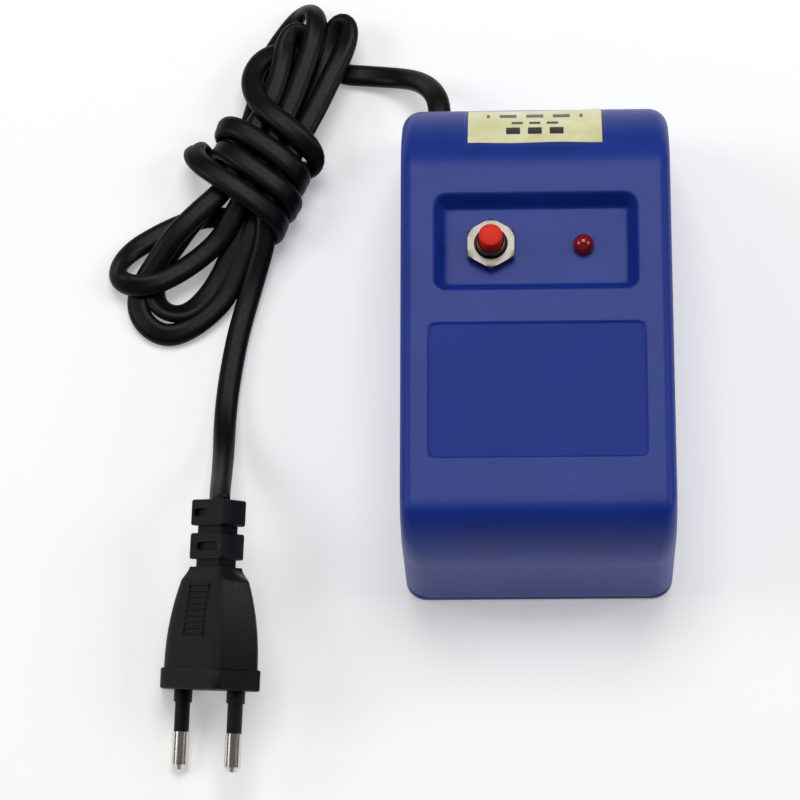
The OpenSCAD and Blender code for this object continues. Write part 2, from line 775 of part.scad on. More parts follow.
// From the coil to the terminal block
module coil_wires() {
    x1 = block_at[0] + pole_x[1];
    color("#2d4f9e") wire([[tag_x + 1, tag_y + 1, under_tag], [tag_x + 1, tag_y + 5, under_tag - 2.5],
        [tag_x + 1, tag_y + 5.5, under_tag - 10], [tag_x + 1, tag_y + 11, 12],
        [x1 + 1, block_front - 8, barrel_z], [x1, block_front - 3, barrel_z],
        [x1, block_front + 2, barrel_z]]);
}

// From the lamp's board to the coil's tags
module led_wires() {
    color("#d8d8d8") for (k = [0, 1]) {
        x0 = lamp_x + (k == 0 ? -6 : 3);
        x1 = k == 0 ? -tag_x + 1 : tag_x - 1;
        wire([[x0, recess_y - 4, board_z], [x0, recess_y - 4.5, board_z - 4],
            [(x0 + x1) / 2, tag_y + 9, board_z - 5], [x1, tag_y + 6, under_tag - 5],
            [x1, tag_y + 5, under_tag - 1.5], [x1, tag_y + 1, tag_z - thin_r]], thin_r);
    }
}

// ---- lead: outside the box ----
// Each point is how far left of the exit, how far behind it, and its share of the exit's height
lying_z = 1.7;
lead_route = [[0, 0, 1], [0, 3.6, 0.99], [0.7, 7.6, 0.9], [2.7, 11.6, 0.7], [6, 15, 0.44], [10, 17.2, 0.2],
    [15, 18.6, 0.05], [20.5, 19.4, 0], [24.5, 19.6, 0]];
lead_points = [for (p = lead_route) [-lead_x - p[0], wall_y + p[1], lying_z + p[2] * (lead_z - lying_z)]];
// The tail, the tied part and the plug are placed from the same exit
module at_exit() { translate([23.5 - lead_x, wall_y - 57.4, 0]) children(); }
tail_points = [[-66.8, 33, 6], [-68, 28, 4.4], [-69.6, 23, 2.8], [-71.6, 16, 1.8], [-73.6, 8, 1.7],
    [-75, 0, 1.7], [-76, -8, 2], [-76.4, -16, 3.4], [-76.2, -24, 7], [-76, -31, 12.4],
    [-75.8, -37, 18], [-75.6, -41, 21]];

module cord_lead() { color("#141516") tube(smooth(lead_points, 3), lead_w / 2, lead_t / 2, sides = 10); }
module cord_tail() {
    color("#141516") at_exit() tube(smooth(tail_points, 3), lead_w / 2, lead_t / 2, sides = 10);
}

// The folded and tied part: upper folds, the knot, and lower folds
module bundle(a, b, r, h) {
    linear_extrude(h) hull() {
        translate(a) circle(r, $fn = 32);
        translate(b) circle(r, $fn = 32);
    }
}
module cord_hank() {
    color("#141516") at_exit() union() {
        bundle([-67, 62], [-54.5, 83.5], 9.5, 13);
        bundle([-74.5, 51], [-65.5, 44.5], 12, 15);
        bundle([-79.5, 34.5], [-92, 18.5], 14.5, 13);
    }
}

// ---- plug ----
plug_at = [-78, -84.4, 11.8];
plug_yaw = -3;
plug_pitch = 12;
plug_roll = 42;

// The plug's own frame: face at y = 0, pins towards -y, pins side by side along x
module at_plug() {
    at_exit() translate(plug_at) rotate([0, 0, plug_yaw]) rotate([plug_pitch, 0, 0])
        rotate([0, -plug_roll, 0]) children();
}

module six_sided(kx, kz) {
    polygon([[flange_x * kx, 0], [flat_x * kx, flange_z * kz], [-flat_x * kx, flange_z * kz],
        [-flange_x * kx, 0], [-flat_x * kx, -flange_z * kz], [flat_x * kx, -flange_z * kz]]);
}
module slab(y, t) { translate([0, y + t, 0]) rotate([90, 0, 0]) linear_extrude(t) children(); }

relief_y = plug_l - 16;
shank_d = pin_d - 0.6;
sleeve_d = [pin_d + 0.4, pin_d - 0.4];
module plug_body() {
    gap = 1.8;
    color("#17181a") at_plug() difference() {
        union() {
            slab(0, flange_t) six_sided(1, 1);
            hull() {
                slab(flange_t - 0.1, 0.1) six_sided(0.93, 0.95);
                slab(relief_y - 5, 0.1) six_sided(0.7, 0.8);
            }
            hull() {
                slab(relief_y - 5, 0.1) six_sided(0.7, 0.8);
                slab(relief_y - 0.1, 0.1) square([11, 7.2], center = true);
            }
            slab(relief_y - 0.1, plug_l - relief_y + 0.1) square([8.6, 5.6], center = true);
            for (y = [relief_y + gap, relief_y + 2 * gap + 6.2])
                slab(y, 6.2) square([11, 7.2], center = true);
        }
        for (x = [-1, 1]) translate([x * pin_pitch / 2, -1, 0]) rotate([-90, 0, 0])
            cylinder(d = shank_d, h = 3);
        translate([-insert_w / 2, 2, -3.5]) cube([insert_w, 8, 7]);
        slab(plug_l - 5, 20)
            stadium([lead_t / 2 - lead_w / 2, 0], [lead_w / 2 - lead_t / 2, 0], lead_t / 2 + 0.02);
    }
}

insert_w = pin_pitch + pin_d + 0.4;
module plug_insert() {
    color("#c9c4b4") at_plug() difference() {
        translate([-insert_w / 2, 2, -3.5]) cube([insert_w, 8, 7]);
        for (x = [-1, 1]) translate([x * pin_pitch / 2, 0, 0]) rotate([-90, 0, 0])
            cylinder(d = shank_d, h = 7);
    }
}

module plug_pins() {
    color("#c9cbd0") at_plug() for (x = [-1, 1]) translate([x * pin_pitch / 2, 0, 0]) rotate([90, 0, 0]) {
        translate([0, 0, -7]) cylinder(d = shank_d, h = 7);
        cylinder(d = pin_d - 1.2, h = sleeve_l);
        translate([0, 0, sleeve_l]) cylinder(d = pin_d, h = pin_l - sleeve_l - 1.2);
        translate([0, 0, pin_l - 1.2]) cylinder(d1 = pin_d, d2 = pin_d - 1.8, h = 1.2);
    }
}

module pin_sleeves() {
    color("#1c1d1f") at_plug() for (x = [-1, 1]) translate([x * pin_pitch / 2, 0, 0])
        rotate([90, 0, 0]) difference() {
        union() {
            cylinder(d = sleeve_d[0], h = 3);
            cylinder(d = sleeve_d[1], h = sleeve_l);
        }
        translate([0, 0, -1]) cylinder(d = pin_d - 1.2, h = far);
    }
}

housing_shell();
base_plate();
rubber_feet();
base_screws();
label();
switch_bushing();
switch_nut();
switch_washer();
switch_case();
switch_terminals();
button_cap();
contact_disc();
switch_spring();
led_lamp();
led_leads();
led_board();
led_resistor();
led_diode();
board_screws();
core_laminations();
core_brackets();
core_bolts();
core_nuts();
bracket_screws();
coil_bobbin();
coil_winding();
coil_tape();
coil_tags();
terminal_block();
terminal_barrels();
terminal_screws();
block_screw();
cord_grommet();
cord_clamp();
clamp_screws();
cord_inner();
mains_wires();
switch_wires();
coil_wires();
led_wires();
cord_lead();
cord_hank();
cord_tail();
plug_body();
plug_insert();
plug_pins();
pin_sleeves();
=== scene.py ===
import math

import bpy
import numpy as np
from mathutils import Matrix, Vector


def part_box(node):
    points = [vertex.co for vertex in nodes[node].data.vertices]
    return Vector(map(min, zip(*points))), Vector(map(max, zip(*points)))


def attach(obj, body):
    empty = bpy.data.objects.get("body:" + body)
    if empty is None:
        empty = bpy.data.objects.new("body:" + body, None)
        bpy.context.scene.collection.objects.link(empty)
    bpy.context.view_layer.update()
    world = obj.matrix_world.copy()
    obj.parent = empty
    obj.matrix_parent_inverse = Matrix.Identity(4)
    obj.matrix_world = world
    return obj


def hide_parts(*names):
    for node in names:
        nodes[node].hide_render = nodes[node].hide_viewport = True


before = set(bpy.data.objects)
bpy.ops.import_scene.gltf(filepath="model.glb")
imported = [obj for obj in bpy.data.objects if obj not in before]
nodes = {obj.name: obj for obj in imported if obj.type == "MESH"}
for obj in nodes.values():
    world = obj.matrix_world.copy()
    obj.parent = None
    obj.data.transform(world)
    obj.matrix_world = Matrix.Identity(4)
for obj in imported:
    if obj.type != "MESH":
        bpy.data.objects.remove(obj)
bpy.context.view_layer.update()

# Bench demagnetizer. Shapes are worked out in millimetres and written in metres.
MM = 0.001


def node_box(name):
    """Lowest and highest corner of a CAD node, in millimetres."""
    low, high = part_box(name)
    return np.array(low) / MM, np.array(high) / MM


# ---------------------------------------------------------------- meshes
def make_piece(name, points, faces, finish, body, slot, replaced=()):
    """Puts points (millimetres) and faces into a smooth mesh that rides on a body."""
    mesh = bpy.data.meshes.new(name)
    mesh.from_pydata((np.asarray(points, float) * MM).tolist(), [], faces)
    mesh.polygons.foreach_set("use_smooth", np.ones(len(mesh.polygons), bool))
    mesh.materials.append(finish)
    mesh.update()
    piece = bpy.data.objects.new(name, mesh)
    bpy.context.scene.collection.objects.link(piece)
    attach(piece, body)
    if replaced:
        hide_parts(*replaced)
    return piece


def sharpen(piece, degrees):
    """Shades edges steeper than an angle as edges, and the rest as smooth."""
    piece.data.set_sharp_from_angle(angle=math.radians(degrees))


def grid_faces(rows, columns, close_rows=False, close_columns=True, start=0):
    """Quads of a grid of rows by columns; closing wraps the last row or column to the first."""
    i = np.arange(rows if close_rows else rows - 1)[:, None]
    j = np.arange(columns if close_columns else columns - 1)[None, :]
    ni, nj = (i + 1) % rows, (j + 1) % columns
    quads = np.stack([i * columns + j, i * columns + nj, ni * columns + nj, ni * columns + j], -1)
    return (quads.reshape(-1, 4) + start).tolist()


def loft(rings):
    """Closed skin over rings of equal length, each a closed outline, with flat ends."""
    count, columns = len(rings), len(rings[0])
    faces = grid_faces(count, columns)
    faces += [list(range(columns))[::-1], list(range((count - 1) * columns, count * columns))]
    return np.concatenate(rings), faces


def tube(rings):
    """Closed skin over rings that run along the outside and come back through a hole."""
    return np.concatenate(rings), grid_faces(len(rings), len(rings[0]), close_rows=True)


def rim_of(grid):
    """The entries round the border of a grid, in order."""
    return np.concatenate([grid[:-1, 0], grid[-1, :-1], grid[:0:-1, -1], grid[0, :0:-1]])


def join(parts):
    """Several (points, faces) as one."""
    points, faces, start = [], [], 0
    for p, f in parts:
        points.append(p)
        faces += [[k + start for k in face] for face in f]
        start += len(p)
    return np.concatenate(points), faces


def full_turn(columns):
    """Angles of one turn, its end left out."""
    return np.linspace(0, 2 * np.pi, columns, endpoint=False)


def turned(rows, centre, angles):
    """Rings round a vertical line; each row is (radius, or a radius for each angle, and height)."""
    return [np.stack([centre[0] + r * np.cos(angles), centre[1] + r * np.sin(angles),
                      np.full(len(angles), z)], 1) for r, z in rows]


def lathe(profile, centre):
    """Turns a profile of (radius, height), listed from the axis to the axis, round a vertical line."""
    return loft(turned(profile, centre, full_turn(64)))


def outward(points, faces):
    """Turns a closed mesh round if its volume is negative."""
    tri = np.array([(f[0], f[k], f[k + 1]) for f in faces for k in range(1, len(f) - 1)])
    a, b, c = (points[tri[:, k]] for k in range(3))
    volume = (a * np.cross(b, c)).sum()
    return (points, faces) if volume > 0 else (points, [f[::-1] for f in faces])


def arc(cx, cz, r, start, end, steps):
    """Points of an arc, angles in degrees."""
    a = np.radians(np.linspace(start, end, steps))
    return np.stack([cx + r * np.cos(a), cz + r * np.sin(a)], 1)


def catmull(points, steps):
    """Catmull-Rom line through the points, with its ends carried on straight."""
    p = np.asarray(points, float)
    q = np.vstack([2 * p[0] - p[1], p, 2 * p[-1] - p[-2]])
    t = np.linspace(0, 1, steps, endpoint=False)[None, :, None]
    a, b, c, d = (q[k:k + len(p) - 1][:, None] for k in range(4))
    line = 0.5 * (2 * b + (c - a) * t + (2 * a - 5 * b + 4 * c - d) * t ** 2
                  + (3 * b - a - 3 * c + d) * t ** 3)
    return np.vstack([line.reshape(-1, 3), p[-1:]])


def unit(v):
    """Vectors at length one."""
    return v / np.linalg.norm(v, axis=-1, keepdims=True)


def outline_radius(planes, angles, sharpness):
    """Distance to a rounded convex outline: the p-norm of its edges, each (normal x, normal y, distance)."""
    planes = np.asarray(planes, float)
    reach = np.outer(np.cos(angles), planes[:, 0]) + np.outer(np.sin(angles), planes[:, 1])
    share = np.maximum(reach / planes[:, 2], 0)
    return (share ** sharpness).sum(1) ** (-1 / sharpness)


# ---------------------------------------------------------------- materials
def lin(code):
    """sRGB hex to linear RGBA."""
    c = np.array([int(code[k:k + 2], 16) for k in (1, 3, 5)]) / 255
    c = np.where(c <= 0.04045, c / 12.92, ((c + 0.055) / 1.055) ** 2.4)
    return (*c.tolist(), 1.0)


def add(tree, kind, settings=None, inputs=None, **values):
    """Adds a node. Settings are its properties. Inputs (by number) and values (by name) go to its
    sockets, each a plain value or the output of another node."""
    node = tree.nodes.new(kind)
    for key, value in (settings or {}).items():
        setattr(node, key, value)
    for key, value in {**(inputs or {}), **values}.items():
        socket = node.inputs[key.replace("_", " ") if isinstance(key, str) else key]
        if isinstance(value, bpy.types.NodeSocket):
            tree.links.new(value, socket)
        else:
            socket.default_value = value
    return node


def start_material(name, **values):
    """A material with a Principled shader, its uniform sockets set, and Object coordinates."""
    material = bpy.data.materials.new(name)
    material.use_nodes = True
    tree = material.node_tree
    shader = tree.nodes["Principled BSDF"]
    for key, value in values.items():
        shader.inputs[key.replace("_", " ")].default_value = value
    place = add(tree, "ShaderNodeTexCoord").outputs["Object"]
    return material, tree, shader, place


def ramp(tree, source, low, high, dark, light):
    """Blends two colours over a range of a 0 to 1 value."""
    node = add(tree, "ShaderNodeValToRGB", Fac=source)
    node.color_ramp.elements[0].position, node.color_ramp.elements[1].position = low, high
    node.color_ramp.elements[0].color, node.color_ramp.elements[1].color = lin(dark), lin(light)
    return node.outputs["Color"]


def mottled(name, dark, light, grain, relief, rough, **values):
    """A finish that varies a little: grain is its texture's size and relief its depth, in millimetres;
    rough is the lowest and highest roughness."""
    material, tree, shader, place = start_material(name, **values)
    broad = add(tree, "ShaderNodeTexNoise", Vector=place, Scale=70, Detail=2)
    fine = add(tree, "ShaderNodeTexNoise", Vector=place, Scale=1 / (grain * MM), Detail=3)
    tree.links.new(ramp(tree, broad.outputs["Fac"], 0.3, 0.7, dark, light), shader.inputs["Base Color"])
    span = add(tree, "ShaderNodeMapRange", Value=fine.outputs["Fac"],
               From_Min=0.3, From_Max=0.7, To_Min=rough[0], To_Max=rough[1])
    tree.links.new(span.outputs["Result"], shader.inputs["Roughness"])
    bump = add(tree, "ShaderNodeBump", Height=fine.outputs["Fac"], Distance=relief * MM)
    tree.links.new(bump.outputs["Normal"], shader.inputs["Normal"])
    return material


# Injection-moulded ABS in royal blue: satin from a fine spark-eroded mould
shell_abs = mottled("abs_royal_blue", "#112f8a", "#143492", 0.5, 0.01, (0.36, 0.44), IOR=1.48,
                    Specular_IOR_Level=0.28)
# The same ABS on the base plate, a little darker and duller than the shell
base_abs = mottled("abs_base_blue", "#0e2778", "#112b80", 0.6, 0.02, (0.42, 0.52), IOR=1.48,
                   Specular_IOR_Level=0.22)
# Natural rubber feet: dull grey black with a bloom
feet_rubber = mottled("rubber_feet_black", "#1d1e20", "#2b2c2f", 0.8, 0.05, (0.65, 0.8))
# Zinc-plated steel: pale bluish metal, slightly cloudy
zinc_steel = mottled("steel_zinc_plated", "#a9adb3", "#c5c8cc", 0.6, 0.01, (0.25, 0.4), Metallic=1.0)
# Nickel on turned brass: warm metal with a dull satin shine
switch_nickel = mottled("brass_nickel_satin", "#716c66", "#857f78", 0.25, 0.004, (0.3, 0.38), Metallic=1.0)
# Pressed phenolic resin: brown black, slightly glossy
phenolic = mottled("phenolic_brown", "#2a1a12", "#38251a", 0.5, 0.01, (0.35, 0.5))
# Rolled brass sheet: warm yellow metal with soft stains
contact_brass = mottled("brass_sheet", "#b08a45", "#caa45c", 0.4, 0.005, (0.25, 0.4), Metallic=1.0)
# Moulded urea push cap: signal red with an eggshell sheen
cap_red = mottled("urea_cap_red", "#de1b06", "#ea270c", 0.8, 0.002, (0.42, 0.5), IOR=1.48,
                  Specular_IOR_Level=0.22)
# Music wire: dark straw-grey steel
spring_steel = mottled("steel_music_wire", "#8b8d90", "#a5a6a8", 0.3, 0.004, (0.2, 0.35), Metallic=1.0)
# Tinned copper wire: soft white metal
tinned_wire = mottled("copper_tinned", "#b9b9b5", "#d0d0cc", 0.3, 0.004, (0.25, 0.4), Metallic=1.0)
# Glass-fibre board under green solder mask
board_fibreglass = mottled("fibreglass_green", "#14552f", "#1d6a3c", 0.35, 0.01, (0.25, 0.4))
# Fired ceramic body with beige paint
resistor_ceramic = mottled("ceramic_beige", "#c7a878", "#d8bc90", 0.3, 0.01, (0.4, 0.55))
# Moulded black epoxy
diode_epoxy = mottled("epoxy_black", "#17171a", "#232326", 0.3, 0.01, (0.3, 0.45))
# Moulded nylon parts: milky, waxy
bobbin_nylon = mottled("nylon_natural", "#d9d4c4", "#e8e4d6", 0.5, 0.01, (0.4, 0.5), Subsurface_Weight=0.1)
block_nylon = mottled("nylon_white_block", "#dcdad2", "#eae8e2", 0.5, 0.01, (0.35, 0.45),
                      Subsurface_Weight=0.1)
insert_nylon = mottled("nylon_grey_insert", "#bfb9a8", "#cdc8b8", 0.5, 0.01, (0.4, 0.5))
# Polyester winding tape: glossy amber film
coil_tape = mottled("polyester_tape_amber", "#c79a2c", "#dcb347", 0.9, 0.01, (0.15, 0.3), Coat_Weight=0.3)
# Moulded rubber grommet: dull black
grommet_rubber = mottled("rubber_grommet_black", "#121314", "#1b1c1e", 0.6, 0.02, (0.5, 0.65))
# Satin black PVC jacket: soft highlight over a faint grain
lead_pvc = mottled("pvc_jacket_black", "#050506", "#08080a", 0.9, 0.03, (0.36, 0.46), IOR=1.46,
                   Specular_IOR_Level=0.2)
# Moulded PVC plug: fine matt grain from a blasted mould
plug_pvc = mottled("pvc_plug_matt_black", "#060708", "#0b0c0e", 0.45, 0.06, (0.42, 0.58), IOR=1.46,
                   Specular_IOR_Level=0.24)
# Nickel-plated brass pins: warm bright metal, faintly clouded
pin_nickel = mottled("brass_nickel_plated", "#c9c4bb", "#e2ddd4", 0.3, 0.004, (0.12, 0.24), Metallic=1.0)


def etch(material, low, high, rough):
    """Gives a finish another roughness inside a box of the moulding, in millimetres."""
    tree = material.node_tree
    shader = tree.nodes["Principled BSDF"]
    before = shader.inputs["Roughness"].links[0].from_socket
    place = add(tree, "ShaderNodeSeparateXYZ", Vector=add(tree, "ShaderNodeTexCoord").outputs["Object"])
    inside = None
    for axis, a, b in zip("XYZ", low, high):
        test = add(tree, "ShaderNodeMath", {"operation": "COMPARE"},
                   {0: place.outputs[axis], 1: (a + b) / 2 * MM, 2: (b - a) / 2 * MM})
        inside = test if inside is None else add(tree, "ShaderNodeMath", {"operation": "MULTIPLY"},
                                                 {0: inside.outputs[0], 1: test.outputs[0]})
    mix = add(tree, "ShaderNodeMix", inputs={0: inside.outputs[0], 2: before, 3: rough})
    tree.links.new(mix.outputs[0], shader.inputs["Roughness"])


def laminated_steel():
    """Stack of punched silicon steel: thin plates across Y, drawn 1 mm thick so that they show."""
    material, tree, shader, place = start_material("steel_laminated_core", Metallic=0.9, Roughness=0.45)
    bands = add(tree, "ShaderNodeTexWave", {"bands_direction": "Y"}, Vector=place, Scale=314,
                Distortion=0.2)
    colour = ramp(tree, bands.outputs["Fac"], 0.1, 0.5, "#3a3b3e", "#7d7f83")
    tree.links.new(colour, shader.inputs["Base Color"])
    bump = add(tree, "ShaderNodeBump", Height=bands.outputs["Fac"], Distance=0.1 * MM)
    tree.links.new(bump.outputs["Normal"], shader.inputs["Normal"])
    return material


def enamelled_copper():
    """Wound magnet wire: copper under clear enamel, turns drawn 0.6 mm apart so that they show."""
    material, tree, shader, place = start_material("copper_enamelled", Metallic=0.8, Roughness=0.28,
                                                   Coat_Weight=0.5)
    bands = add(tree, "ShaderNodeTexWave", {"bands_direction": "Z"}, Vector=place, Scale=520)
    colour = ramp(tree, bands.outputs["Fac"], 0.1, 0.7, "#5e2a12", "#b8602c")
    tree.links.new(colour, shader.inputs["Base Color"])
    bump = add(tree, "ShaderNodeBump", Height=bands.outputs["Fac"], Distance=0.15 * MM)
    tree.links.new(bump.outputs["Normal"], shader.inputs["Normal"])
    return material


def printed_label(low, high):
    """Coated paper, pale yellow with faint streaks, printed with plain black bars instead of words."""
    material, tree, shader, place = start_material("paper_coated_yellow", Roughness=0.35, Coat_Weight=0.3,
                                                   Coat_Roughness=0.2)
    streaks = add(tree, "ShaderNodeTexNoise", Vector=place, Scale=180, Detail=3)
    paper = ramp(tree, streaks.outputs["Fac"], 0.35, 0.7, "#dedb9c", "#f0eebf")
    split = add(tree, "ShaderNodeSeparateXYZ", Vector=place)
    centre = (low + high) / 2 * MM
    ink = None
    # Each row is (distance behind the label's middle, bar height, bar spacing, half width of the row)
    for back, tall, pitch, half in ((-2.6, 2.3, 5.2, 7.8), (0.2, 0.9, 4.2, 6.6), (3.1, 1.5, 6.4, 11.5)):
        row = add(tree, "ShaderNodeMath", {"operation": "COMPARE"},
                  {0: split.outputs["Y"], 1: centre[1] + back * MM, 2: tall * MM / 2})
        span = add(tree, "ShaderNodeMath", {"operation": "COMPARE"},
                   {0: split.outputs["X"], 1: centre[0], 2: half * MM})
        wrap = add(tree, "ShaderNodeMath", {"operation": "PINGPONG"},
                   {0: split.outputs["X"], 1: pitch * MM / 2})
        dash = add(tree, "ShaderNodeMath", {"operation": "LESS_THAN"},
                   {0: wrap.outputs[0], 1: pitch * MM * 0.32})
        both = add(tree, "ShaderNodeMath", {"operation": "MULTIPLY"}, {0: row.outputs[0], 1: span.outputs[0]})
        bar = add(tree, "ShaderNodeMath", {"operation": "MULTIPLY"}, {0: both.outputs[0], 1: dash.outputs[0]})
        ink = bar if ink is None else add(tree, "ShaderNodeMath", {"operation": "MAXIMUM"},
                                          {0: ink.outputs[0], 1: bar.outputs[0]})
    mix = add(tree, "ShaderNodeMix", {"data_type": "RGBA"},
              {0: ink.outputs[0], 6: paper, 7: lin("#23241c")})
    tree.links.new(mix.outputs[2], shader.inputs["Base Color"])
    return material


def tinted_lens():
    """Cast epoxy lens, dyed deep red: clear enough to darken towards the rim, with a wet surface."""
    material, tree, shader, place = start_material(
        "epoxy_lens_red", Roughness=0.08, IOR=1.5, Transmission_Weight=0.2, Coat_Weight=0.3,
        Coat_Roughness=0.04)
    swirl = add(tree, "ShaderNodeTexNoise", Vector=place, Scale=420, Detail=1)
    tree.links.new(ramp(tree, swirl.outputs["Fac"], 0.35, 0.7, "#7a0503", "#a80b06"),
                   shader.inputs["Base Color"])
    return material


def wire_insulation(name, dark, light):
    """Extruded PVC insulation on hook-up wire: smooth with a soft gloss."""
    return mottled(name, dark, light, 0.5, 0.01, (0.3, 0.42))


core_steel = laminated_steel()
winding_copper = enamelled_copper()

# ---------------------------------------------------------------- camera
camera = bpy.data.objects.new("camera", bpy.data.cameras.new("camera"))
bpy.context.scene.collection.objects.link(camera)
camera.data.lens = 155.9
camera.data.sensor_width = 36
camera.data.clip_start = 0.05
camera.data.clip_end = 20
camera.location = (0, -0.27166, 0.8084)
camera.rotation_euler = [math.radians(angle) for angle in (17.9927, 2.3301, 0.1788)]
bpy.context.scene.camera = camera

# ---------------------------------------------------------------- the lead
# Its route from the grommet through the folds and the knot to the plug, in millimetres
lead_route = [
    [-23.5, 57.4, 16], [-23.5, 61, 15.9], [-24.2, 65, 14.6], [-26.2, 69, 11.7], [-29.5, 72.4, 8],
    [-33.5, 74.6, 4.6], [-38.5, 76, 2.4], [-44, 76.8, 1.7], [-48, 77, 1.7]]
wrap_1 = [
    [-53, 79.5, 1.7], [-58, 81, 1.8], [-62, 82.5, 2.8], [-65.5, 82, 4.6], [-68.5, 80, 5.4],
    [-70.5, 76.5, 6.2], [-71, 72.5, 7.6], [-69.5, 67.5, 9.6], [-66.5, 63.5, 11.2], [-62.5, 60, 11.6],
    [-58.5, 56.5, 11.4], [-55.5, 53.5, 10.2], [-54.5, 51.5, 7.4], [-55.5, 50.5, 4.2], [-58.5, 50.5, 2.2],
    [-63, 52, 1.7]]
wrap_2 = [
    [-68.5, 54.5, 1.7], [-74, 57.5, 1.8], [-77.5, 59, 3.2], [-79, 60, 6.2], [-77.5, 60.5, 9.4],
    [-74, 59, 11.1], [-69.5, 56, 11.5], [-64.5, 52.5, 11.5], [-60.5, 49, 11.1], [-58, 47, 9.4],
    [-57.5, 45.5, 6.2], [-59.5, 45, 3.4], [-63, 46, 1.8]]
wrap_3 = [
    [-68.5, 48.5, 1.7], [-74, 51.5, 1.7], [-77.5, 53.5, 2.4], [-79.5, 55, 5], [-78.5, 55, 8.4],
    [-75.5, 52.5, 10.8], [-71, 49, 11.5], [-66.5, 45.5, 11.5], [-62.5, 42.5, 11.1], [-60, 40, 9.3],
    [-59.5, 38.5, 6.2], [-62, 38.5, 3.2], [-66, 40.5, 1.8]]
wrap_4 = [
    [-71.5, 44, 1.7], [-76.5, 48, 1.7], [-81.5, 53, 1.9], [-84, 56, 3.6], [-85, 56, 6.2],
    [-85, 52.5, 9], [-82.5, 49, 11.2], [-78, 45.5, 12.3], [-72.5, 41.5, 12.4], [-67.5, 38, 11.6],
    [-63.5, 35, 9.6], [-62.5, 33.5, 6.2], [-65, 33, 3.2], [-69, 35, 1.8]]
lower_loop_a = [
    [-75, 38, 1.7], [-82, 39, 1.7], [-89.5, 36.5, 1.7], [-96, 33, 1.9], [-101, 29.5, 2.2],
    [-104, 25, 3.2], [-103.5, 21.5, 4.4], [-99.5, 19.5, 5.2], [-94.5, 20, 5.4], [-88.5, 23, 5.2],
    [-82.5, 27.5, 5.1], [-78, 32, 5.6], [-75, 37, 6.8], [-72, 42.5, 8]]
upper_loop_1 = [
    [-68, 50.5, 8.1], [-64.5, 58.5, 8.1], [-61, 66, 8.3], [-57.5, 76, 8.8], [-55.5, 83, 8.8],
    [-54.5, 88.5, 8.2], [-55.5, 92.5, 6.4], [-57.5, 94, 4.4], [-60, 92.5, 2.8], [-63, 88, 1.8],
    [-66, 83, 1.7], [-68.5, 76.5, 1.8], [-69.5, 70, 3.2], [-70.5, 64.5, 4.8]]
lower_loop_b = [
    [-73.5, 55, 4.9], [-77, 46, 4.9], [-82, 40.5, 4.9], [-86.5, 35, 4.9], [-90, 30, 4.1],
    [-93.5, 25.5, 2.6], [-95, 20.5, 1.8], [-94, 15.5, 1.7], [-90, 13, 1.7], [-86.5, 13.5, 1.8],
    [-82.5, 16.5, 2], [-79, 21.5, 2.2], [-76.5, 26.5, 3], [-74.5, 32.5, 4], [-73, 38.5, 4.8]]
upper_loop_3 = [
    [-71.5, 43.5, 4.9], [-68, 52, 4.9], [-65, 60.5, 4.9], [-62.5, 68, 5], [-59.5, 76.5, 5.2],
    [-57.4, 82.5, 5.4], [-57.3, 85.8, 6], [-59.6, 87.4, 7], [-62, 84.5, 7.8], [-63, 78.5, 8],
    [-64.5, 72, 8], [-66.5, 66.5, 8.1], [-69, 62, 8.1]]
lower_loop_c = [
    [-73, 53.5, 8.1], [-77, 44.5, 8.1], [-82, 39.5, 8.1], [-86, 35.5, 8.1], [-89.5, 32, 7.5],
    [-92.5, 28, 6], [-95.5, 24, 4], [-98, 20.5, 2.4], [-99, 16.5, 1.7], [-98, 12.5, 1.7],
    [-95.5, 9.5, 1.7], [-91.5, 7.5, 1.7], [-86.5, 9, 1.7], [-81.5, 12.5, 1.9], [-77, 17.5, 2.1],
    [-74, 24.5, 3], [-71.5, 31.5, 4.2], [-69.5, 37, 4.9]]
upper_loop_2 = [
    [-66.5, 41.5, 4.9], [-63.5, 49.5, 4.9], [-60, 57.5, 4.9], [-57.5, 65.5, 4.6], [-54.5, 74.5, 4.4],
    [-52, 82.5, 4.4], [-50.8, 87.5, 4.6], [-48.4, 90.2, 5.8], [-46.4, 87, 7.2], [-47.8, 81, 7.9],
    [-51, 73.5, 8.1], [-54.5, 65.5, 8.1], [-58.5, 57.5, 8.1]]
tail = [
    [-62.5, 48.5, 8.1], [-66.2, 40, 7.9], [-67, 36, 7],
    [-66.8, 33, 6], [-68, 28, 4.4], [-69.6, 23, 2.8], [-71.6, 16, 1.8], [-73.6, 8, 1.7], [-75, 0, 1.7],
    [-76, -8, 2], [-76.4, -16, 3.4], [-76.2, -24, 7], [-76, -31, 12.4], [-75.8, -37, 18], [-75.6, -41, 21]]

LEAD_W, LEAD_T = 5.6, 3.2
SECTION_STEP = 1.1                  # along the lead, between one section and the next
EASY_BEND, HARD_BEND = 0.09, 0.22   # curvature at which it begins to roll, and stands on edge
PLUG_TURN = (45, 5)                 # it turns to the plug between these distances from its end
FLOOR_GAP = 0.05
plug_place = (Matrix.Translation((-78, -84.4, 11.8)) @ Matrix.Rotation(math.radians(-3), 4, "Z")
              @ Matrix.Rotation(math.radians(12), 4, "X") @ Matrix.Rotation(math.radians(-42), 4, "Y"))
plug_turn = np.array(plug_place.to_3x3())


def lead_section(columns=24):
    """Twin-core section: a superellipse 5.6 by 3.2 mm with a shallow groove along both flats."""
    a = full_turn(columns)
    x = LEAD_W / 2 * np.sign(np.cos(a)) * np.abs(np.cos(a)) ** 0.94
    y = LEAD_T / 2 * np.sign(np.sin(a)) * np.abs(np.sin(a)) ** 0.94
    return np.stack([x, y * (1 - 0.13 * np.exp(-(x / 0.8) ** 2))], 1)


